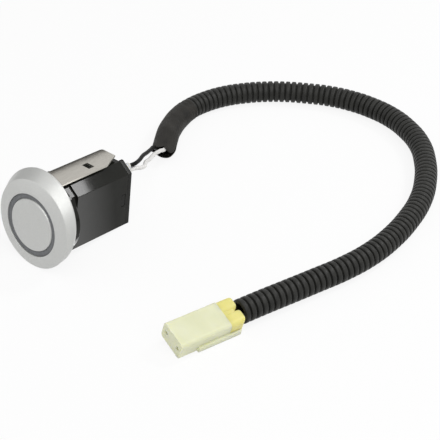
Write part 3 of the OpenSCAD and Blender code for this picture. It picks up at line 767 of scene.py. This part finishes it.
table_bm = bmesh.new()
bmesh.ops.create_grid(table_bm, x_segments=1, y_segments=1, size=TABLE_HALF)
table = bpy.data.objects.new("table", mesh_from(table_bm, "table"))
table.data.materials.append(table_top())
bpy.context.scene.collection.objects.link(table)

world = bpy.data.worlds.new("studio")
world.use_nodes = True
bpy.context.scene.world = world
sky = world.node_tree.nodes["Background"]
sky_range = world.node_tree.nodes.new("ShaderNodeMapRange")
sky_range.inputs["To Min"].default_value = SKY
sky_range.inputs["To Max"].default_value = 1.0
sky.inputs["Color"].default_value = (1, 1, 1, 1)
world.node_tree.links.new(seen_rays(world.node_tree), sky_range.inputs["Value"])
world.node_tree.links.new(sky_range.outputs["Result"], sky.inputs["Strength"])

LAMP_AIM = Vector((20, 30, 8)) * MM
# Each lamp's place and size in metres, and its power.
LAMPS = {
    "key": ((0.36, -0.1, 0.62), 0.7, 2.9),
    "fill": ((-0.6, -0.6, 0.5), 1.2, 1.6),
}


def softbox(name, size, power):
    lamp_data = bpy.data.lights.new(name, "AREA")
    lamp_data.size = size
    lamp_data.energy = power
    lamp = bpy.data.objects.new(name, lamp_data)
    bpy.context.scene.collection.objects.link(lamp)
    lamp.rotation_mode = "QUATERNION"
    return lamp


for name, (place, size, power) in LAMPS.items():
    lamp = softbox(name, size, power)
    lamp.location = place
    lamp.rotation_quaternion = (LAMP_AIM - lamp.location).to_track_quat("-Z", "Y")
print("lamps:", list(LAMPS))

# %% [markdown]
# ## A softbox that the housing mirrors
# The glossy upper chamfer mirrors a softbox behind the sensor, and the box's edge ends in the middle of the
# chamfer. The camera's ray to the chosen point is mirrored on the chamfer, and the softbox stands on that
# mirrored ray with its one edge exactly there.

# %% Mirrored softbox
CHAMFER_POINT = head_point(4.5, 16.2, 7.6)
CHAMFER_NORMAL = (HEAD.to_3x3() @ Vector((2.75, 0, 3.5))).normalized()
CHAMFER_FRONT = head_point(4.5, 10.7, 7.6)
BOX_DISTANCE = 0.45
BOX_SIZE = 0.07
BOX_POWER = 0.4


def mirrored(point, normal, distance):
    """Where the camera's ray to a point of a surface goes on to, this far away."""
    onward = (point - CAMERA_EYE).normalized().reflect(normal)
    return point + onward * distance, onward


box_edge, box_back = mirrored(CHAMFER_POINT, CHAMFER_NORMAL, BOX_DISTANCE)
across = mirrored(CHAMFER_FRONT, CHAMFER_NORMAL, BOX_DISTANCE)[0] - box_edge
across = (across - across.dot(box_back) * box_back).normalized()
back = softbox("back", BOX_SIZE, BOX_POWER)
back.location = box_edge + across * BOX_SIZE / 2
back.rotation_quaternion = Matrix((across, box_back.cross(across), box_back)).transposed().to_quaternion()
print("back softbox at", [round(c, 3) for c in back.location])

# %% [markdown]
# ## Cards for the reflections
# Smooth metal and plastic are told by what they mirror. A black card stands close beside the far side of
# the clip. The leaf mirrors the card's upper edge just before the bend, so the bend is a dark band. A lit
# card lies on the table beside the housing and fades towards its rear end, so the glossy side is lighter
# near the bezel. A grey card hangs beyond the bezel, so the flank is darker at its highest point than on
# its lit side. Only reflections find the cards.

# %% Cards
LEAF_POINT = head_point(-2.7, 20, 10.75)
LEAF_NORMAL = HEAD.to_3x3() @ Vector((0, 0, 1))
FLAG_DISTANCE = 0.013
FLAG_LENGTH = 0.036
SIDE_X = 5.7
GLOW = 3.8
GLOW_FRONT = head_point(SIDE_X, 8.5, -9)
GLOW_START = head_point(SIDE_X, 13, 0)
GLOW_END = head_point(SIDE_X, 27, 0)
GLOW_REACH = 0.0204
CARD_LIFT = 0.0001
FLANK_CENTRE = Vector((0, 2.3, 0.75))
FLANK_R = 13.3
FLANK_TURN = math.radians(107)
FLANK_SLOPE = math.radians(33)
FLANK_OUT = Vector((math.cos(FLANK_TURN), 0, math.sin(FLANK_TURN)))
FLANK_POINT = head_point(*(FLANK_CENTRE + FLANK_R * FLANK_OUT))
FLANK_NORMAL = HEAD.to_3x3() @ (math.cos(FLANK_SLOPE) * FLANK_OUT - Vector((0, math.sin(FLANK_SLOPE), 0)))
SHADE_DISTANCE = 0.05
SHADE_SIZE = 0.06
SHADE_TONE = 0.5


def card(name, corners, material):
    """A sheet that only reflections find."""
    bm = bmesh.new()
    bm.faces.new([bm.verts.new(corner) for corner in corners])
    sheet = bpy.data.objects.new(name, mesh_from(bm, name))
    sheet.data.materials.append(material)
    sheet.visible_camera = False
    sheet.visible_diffuse = False
    sheet.visible_shadow = False
    bpy.context.scene.collection.objects.link(sheet)
    print(name, "at", [round(c, 3) for c in corners[0]])


def glowing(name, strength=1.0):
    """A surface that gives off white light and mirrors nothing."""
    return finish(
        name, (0, 0, 0), 1.0, Specular_IOR_Level=0.0, Emission_Color=(1, 1, 1, 1),
        Emission_Strength=strength)


def fading_light(slope):
    """Light that fades along the housing, as the housing's side mirrors the table."""
    material = glowing("lit card")
    nodes, links = material.node_tree.nodes, material.node_tree.links
    place = nodes.new("ShaderNodeTexCoord")
    along = nodes.new("ShaderNodeVectorMath")
    along.operation = "DOT_PRODUCT"
    along.inputs[1].default_value = (-slope, 1, 0)
    links.new(place.outputs["Object"], along.inputs[0])
    start, end = [point.y - slope * point.x for point in (GLOW_START, GLOW_END)]
    drive(material, "Emission Strength", remap(material, along.outputs["Value"], GLOW, 1.0, start, end))
    return material


flag_middle = mirrored(LEAF_POINT, LEAF_NORMAL, FLAG_DISTANCE)[0]
flag_half = HEAD.to_3x3() @ Vector((0, FLAG_LENGTH / 2, 0))
flag_top = [flag_middle - flag_half, flag_middle + flag_half]
flag_foot = [Vector((corner.x, corner.y, 0)) for corner in reversed(flag_top)]
card("flag", flag_top + flag_foot, finish("flag cloth", (0.02, 0.02, 0.02), 1.0, Specular_IOR_Level=0.0))
onward = mirrored(GLOW_START, Vector((1, 0, 0)), 0)[1]
slope = onward.y / onward.x
away = Vector((1, slope, 0)) * GLOW_REACH
near_front, near_rear = [Vector((GLOW_START.x, end.y, CARD_LIFT)) for end in (GLOW_FRONT, GLOW_END)]
card("lit_card", [near_front, near_front + away, near_rear + away, near_rear], fading_light(slope))
shade_middle, shade_way = mirrored(FLANK_POINT, FLANK_NORMAL, SHADE_DISTANCE)
shade_x = shade_way.cross(Vector((0, 0, 1))).normalized() * SHADE_SIZE / 2
shade_y = shade_x.cross(shade_way)
shade_corners = [
    shade_middle + i * shade_x + j * shade_y for i, j in ((-1, -1), (1, -1), (1, 1), (-1, 1))]
card("shade", shade_corners, glowing("shade cloth", SHADE_TONE))
